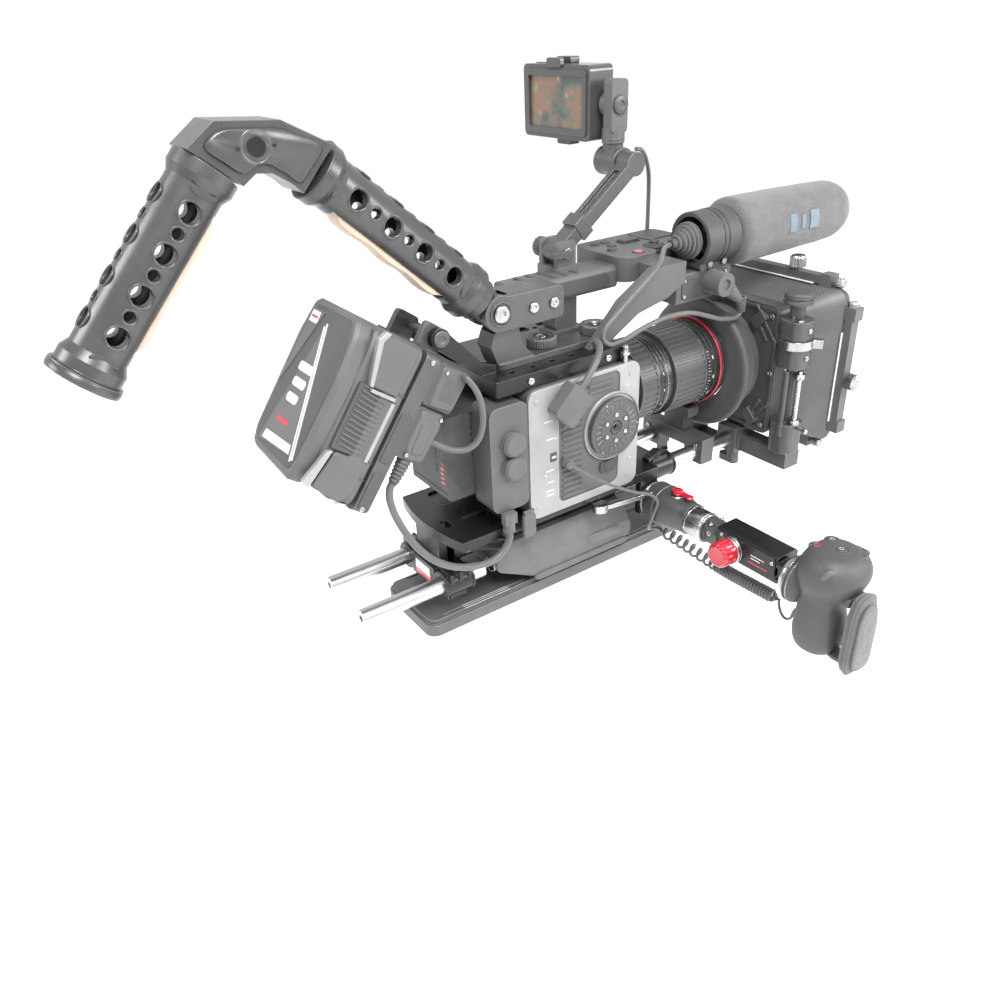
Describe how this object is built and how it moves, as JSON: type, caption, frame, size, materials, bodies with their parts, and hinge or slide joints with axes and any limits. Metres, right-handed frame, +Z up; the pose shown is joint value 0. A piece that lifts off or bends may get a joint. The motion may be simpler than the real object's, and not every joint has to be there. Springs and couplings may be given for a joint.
{
  "type": "cinema camera rig",
  "caption": "Compact cinema camera on a rod baseplate with lens, swing matte box, microphone, monitor, folding shoulder grip, tilting battery and a remote handgrip.",
  "frame": {"origin": "tripod thread in the underside of the adapter plate", "axes": "+Z up, -Y the way the lens points, -X the operator's right"},
  "size_m": [0.443, 0.7371, 0.4308],
  "materials": {
    "black_anodised": "satin",
    "grey_anodised": "satin",
    "silver_paint": "satin",
    "bare_rod": "satin",
    "screw_steel": "satin",
    "grey_shell": "matt",
    "dark_shell": "matt",
    "lens_black": "satin",
    "ring_rubber": "matt",
    "soft_rubber": "matt",
    "lens_coating": "polished",
    "red_part": "gloss",
    "beige_insert": "matt",
    "foam": "matt",
    "strap_fabric": "matt",
    "cable_sheath": "satin",
    "screen_plastic": "gloss"
  },
  "bodies": {
    "camera": {"adapter_plate": "grey_anodised", "shoulder_pad": "soft_rubber", "base_plate": "black_anodised", "rod_clamps": "black_anodised", "rods": "bare_rod", "top_plate": "black_anodised", "camera_body": "grey_shell", "side_panel": "silver_paint", "cooling_grille": "dark_shell", "grip_rosette": "grey_anodised", "camera_battery": "dark_shell", "lens_barrel": "lens_black", "lens_glass": "lens_coating", "cable_plugs": "soft_rubber", "fasteners": "screw_steel", "top_handle": "grey_shell", "mic_holder": "dark_shell", "microphone": "dark_shell", "windscreen": "foam", "handle_bracket": "grey_anodised", "matte_foot": "grey_anodised", "lens_support": "grey_anodised", "mic_cable": "cable_sheath", "monitor_cable": "cable_sheath", "battery_cable": "cable_sheath", "handle_cable": "cable_sheath", "remote_lead": "cable_sheath"},
    "zoom_ring": {"zoom_ring": "ring_rubber"},
    "focus_ring": {"focus_ring": "ring_rubber"},
    "zoom_rocker": {"zoom_rocker": "dark_shell"},
    "handle_button": {"handle_button": "red_part"},
    "grip": {"grip_inner": "grey_anodised", "grip_elbow": "grey_anodised", "grip_outer": "grey_anodised", "grip_inserts": "beige_insert"},
    "matte_box": {"matte_stage": "grey_anodised", "donut": "soft_rubber", "hood": "dark_shell"},
    "swing_latch": {"swing_latch": "screw_steel"},
    "quick_lever": {"quick_lever": "screw_steel"},
    "port_flap": {"port_flap": "soft_rubber"},
    "side_button": {"side_button": "dark_shell"},
    "battery_plate": {"battery_plate": "grey_anodised", "battery_connectors": "dark_shell", "plate_cable": "cable_sheath"},
    "battery_pack": {"battery_pack": "grey_shell"},
    "battery_release": {"battery_release": "red_part"},
    "monitor_arm": {"monitor_arm": "black_anodised"},
    "monitor_swivel": {"monitor_swivel": "grey_anodised"},
    "monitor_yoke": {"monitor_yoke": "grey_shell"},
    "monitor": {"monitor_body": "screen_plastic"},
    "remote_arm": {"remote_arm": "grey_anodised", "remote_coil": "cable_sheath"},
    "ratchet_button": {"ratchet_button": "red_part"},
    "remote_bar": {"remote_bar": "black_anodised", "remote_tail": "cable_sheath"},
    "remote_knob": {"remote_knob": "red_part"},
    "remote_grip": {"remote_grip": "grey_shell", "hand_strap": "strap_fabric"},
    "grip_buttons": {"grip_buttons": "dark_shell"}
  },
  "joints": [
    {"name": "quick_lever_turn", "type": "hinge", "parent": "camera", "child": "quick_lever", "pos_m": [-0.057, -0.008, 0.076], "axis": [0, 0, 1], "range_deg": [-80, 0]},
    {"name": "port_flap_hinge", "type": "hinge", "parent": "camera", "child": "port_flap", "pos_m": [-0.0589, 0.072, 0.102], "axis": [0, 1, 0], "range_deg": [0, 100]},
    {"name": "side_button_press", "type": "slide", "parent": "camera", "child": "side_button", "axis": [1, 0, 0], "range_m": [0, 0.0011], "stiffness_N_per_m": 400},
    {"name": "handle_button_press", "type": "slide", "parent": "camera", "child": "handle_button", "axis": [0, 0, -1], "range_m": [0, 0.001], "stiffness_N_per_m": 400},
    {"name": "zoom_rocker_tilt", "type": "hinge", "parent": "camera", "child": "zoom_rocker", "pos_m": [0.034, -0.115, 0.2782], "axis": [1, 0, 0], "range_deg": [-5, 5], "stiffness_Nm_per_rad": 0.02},
    {"name": "zoom_ring_turn", "type": "hinge", "parent": "camera", "child": "zoom_ring", "pos_m": [0, -0.083, 0.161], "axis": [0, 1, 0], "range_deg": [-60, 30]},
    {"name": "focus_ring_turn", "type": "hinge", "parent": "camera", "child": "focus_ring", "pos_m": [0, -0.13, 0.161], "axis": [0, 1, 0], "range_deg": [-150, 150]},
    {"name": "matte_box_swing", "type": "hinge", "parent": "camera", "child": "matte_box", "pos_m": [-0.088, -0.215, 0.16], "axis": [0, 0, 1], "range_deg": [-95, 0]},
    {"name": "swing_latch_turn", "type": "hinge", "parent": "matte_box", "child": "swing_latch", "pos_m": [-0.088, -0.215, 0.191], "axis": [0, 0, 1], "range_deg": [0, 35]},
    {"name": "grip_pivot", "type": "hinge", "parent": "camera", "child": "grip", "pos_m": [-0.019, 0.075, 0.266], "axis": [1, 0, 0], "range_deg": [-10, 45]},
    {"name": "battery_tilt", "type": "hinge", "parent": "camera", "child": "battery_plate", "pos_m": [0, 0.127, 0.257], "axis": [1, 0, 0], "range_deg": [-3, 25], "deforming": ["battery_cable"]},
    {"name": "battery_slide", "type": "slide", "parent": "battery_plate", "child": "battery_pack", "axis": [0, -0.5878, 0.809], "range_m": [0, 0.03]},
    {"name": "battery_release_press", "type": "slide", "parent": "battery_plate", "child": "battery_release", "axis": [-1, 0, 0], "range_m": [0, 0.002], "stiffness_N_per_m": 400},
    {"name": "monitor_arm_lift", "type": "hinge", "parent": "camera", "child": "monitor_arm", "pos_m": [0.025, -0.026, 0.287], "axis": [1, 0, 0], "range_deg": [-40, 20], "deforming": ["monitor_cable"]},
    {"name": "monitor_arm_tip", "type": "hinge", "parent": "monitor_arm", "child": "monitor_swivel", "pos_m": [0.025, -0.107, 0.348], "axis": [1, 0, 0], "range_deg": [-25, 25]},
    {"name": "monitor_turn", "type": "hinge", "parent": "monitor_swivel", "child": "monitor_yoke", "pos_m": [0.048, -0.107, 0.366], "axis": [0, 0, 1], "range_deg": [-60, 60]},
    {"name": "monitor_tilt", "type": "hinge", "parent": "monitor_yoke", "child": "monitor", "pos_m": [0.06, -0.107, 0.394], "axis": [1, 0, 0], "range_deg": [-60, 60]},
    {"name": "remote_arm_rotate", "type": "hinge", "parent": "camera", "child": "remote_arm", "pos_m": [-0.052, -0.077, 0.06], "axis": [1, 0, 0], "range_deg": [-30, 45], "deforming": ["remote_lead"]},
    {"name": "remote_extend", "type": "slide", "parent": "remote_arm", "child": "remote_bar", "axis": [-1, 0, 0], "range_m": [0, 0.025], "deforming": ["remote_coil"]},
    {"name": "remote_knob_turn", "type": "hinge", "parent": "remote_bar", "child": "remote_knob", "pos_m": [-0.16, -0.065, 0.06], "axis": [0, 1, 0], "range_deg": [-180, 180]},
    {"name": "remote_grip_rotate", "type": "hinge", "parent": "remote_bar", "child": "remote_grip", "pos_m": [-0.219, -0.077, 0.06], "axis": [1, 0, 0], "range_deg": [-60, 60], "deforming": ["remote_tail"]},
    {"name": "ratchet_press", "type": "slide", "parent": "remote_arm", "child": "ratchet_button", "axis": [0, 0, -1], "range_m": [0, 0.002], "stiffness_N_per_m": 400},
    {"name": "grip_buttons_press", "type": "slide", "parent": "remote_grip", "child": "grip_buttons", "axis": [0, 0, -1], "range_m": [0, 0.0008], "stiffness_N_per_m": 600}
  ]
}
